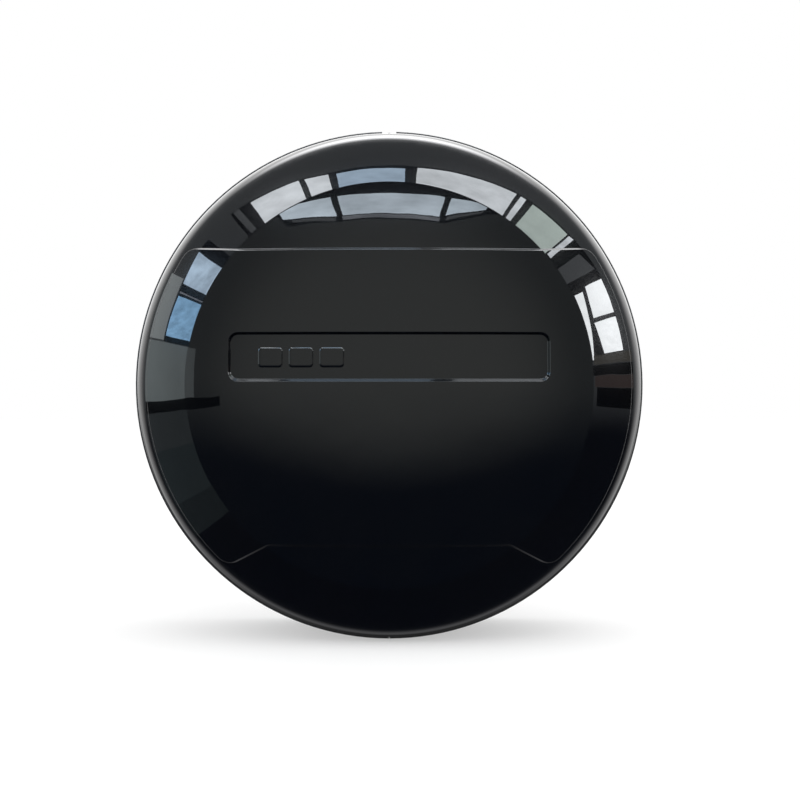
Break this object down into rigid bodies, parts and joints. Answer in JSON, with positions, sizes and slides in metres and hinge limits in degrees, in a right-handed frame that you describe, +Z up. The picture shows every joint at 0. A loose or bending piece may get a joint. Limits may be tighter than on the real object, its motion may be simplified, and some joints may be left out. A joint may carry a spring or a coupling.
{
  "type": "spare tire cover",
  "caption": "Round gloss black hard-shell spare tyre cover with a raised front panel and slot, two hinged half bands round the tread and an over-centre latch below.",
  "frame": {"origin": "on the wheel's axis, in the plane where the tyre's front sidewall rests on the cover's pads", "axes": "+Z up, the gloss face looks towards -Y, the tyre and the vehicle lie towards +Y, +X to the right seen from the front"},
  "size_m": [0.862, 0.3393, 0.868],
  "materials": {
    "gloss_shell": "gloss",
    "satin_band": "satin",
    "inner_plastic": "matte",
    "pad_foam": "matte",
    "seal_rubber": "matte",
    "zinc_steel": "satin"
  },
  "bodies": {
    "cover": {"face_shell": "gloss_shell", "badge_bars": "gloss_shell", "rib_frame": "inner_plastic", "sidewall_pads": "pad_foam", "rim_seal": "seal_rubber", "top_bridge": "satin_band", "bridge_screws": "zinc_steel", "hinge_pin": "zinc_steel", "pin_clips": "zinc_steel"},
    "left_half": {"left_band": "satin_band", "left_hinge_leaf": "zinc_steel", "left_hinge_rivets": "zinc_steel", "left_edge_trim": "seal_rubber", "left_grip_pads": "seal_rubber", "overlap_tongue": "satin_band", "tongue_rivets": "zinc_steel", "latch_base": "zinc_steel", "latch_rivets": "zinc_steel", "lever_pin": "zinc_steel"},
    "right_half": {"right_band": "satin_band", "right_hinge_leaf": "zinc_steel", "right_hinge_rivets": "zinc_steel", "right_edge_trim": "seal_rubber", "right_grip_pads": "seal_rubber", "latch_keeper": "zinc_steel", "keeper_rivets": "zinc_steel"},
    "lever": {"latch_lever": "zinc_steel", "bail_pin": "zinc_steel"},
    "bail": {"latch_bail": "zinc_steel"}
  },
  "joints": [
    {"name": "left_half_swing", "type": "hinge", "parent": "cover", "child": "left_half", "pos_m": [0, 0.154, 0.43], "axis": [0, 1, 0], "range_deg": [0, 20]},
    {"name": "right_half_swing", "type": "hinge", "parent": "cover", "child": "right_half", "pos_m": [0, 0.154, 0.43], "axis": [0, -1, 0], "range_deg": [0, 20]},
    {"name": "lever_turn", "type": "hinge", "parent": "left_half", "child": "lever", "pos_m": [-0.034, 0.252, -0.399], "axis": [0, 0, -1], "range_deg": [0, 120]},
    {"name": "bail_turn", "type": "hinge", "parent": "lever", "child": "bail", "pos_m": [-0.046, 0.2476, -0.399], "axis": [0, 0, -1], "range_deg": [-120, 0]}
  ],
  "couplings": [
    {"joint": "bail_turn", "follows": "lever_turn", "ratio": -1}
  ]
}
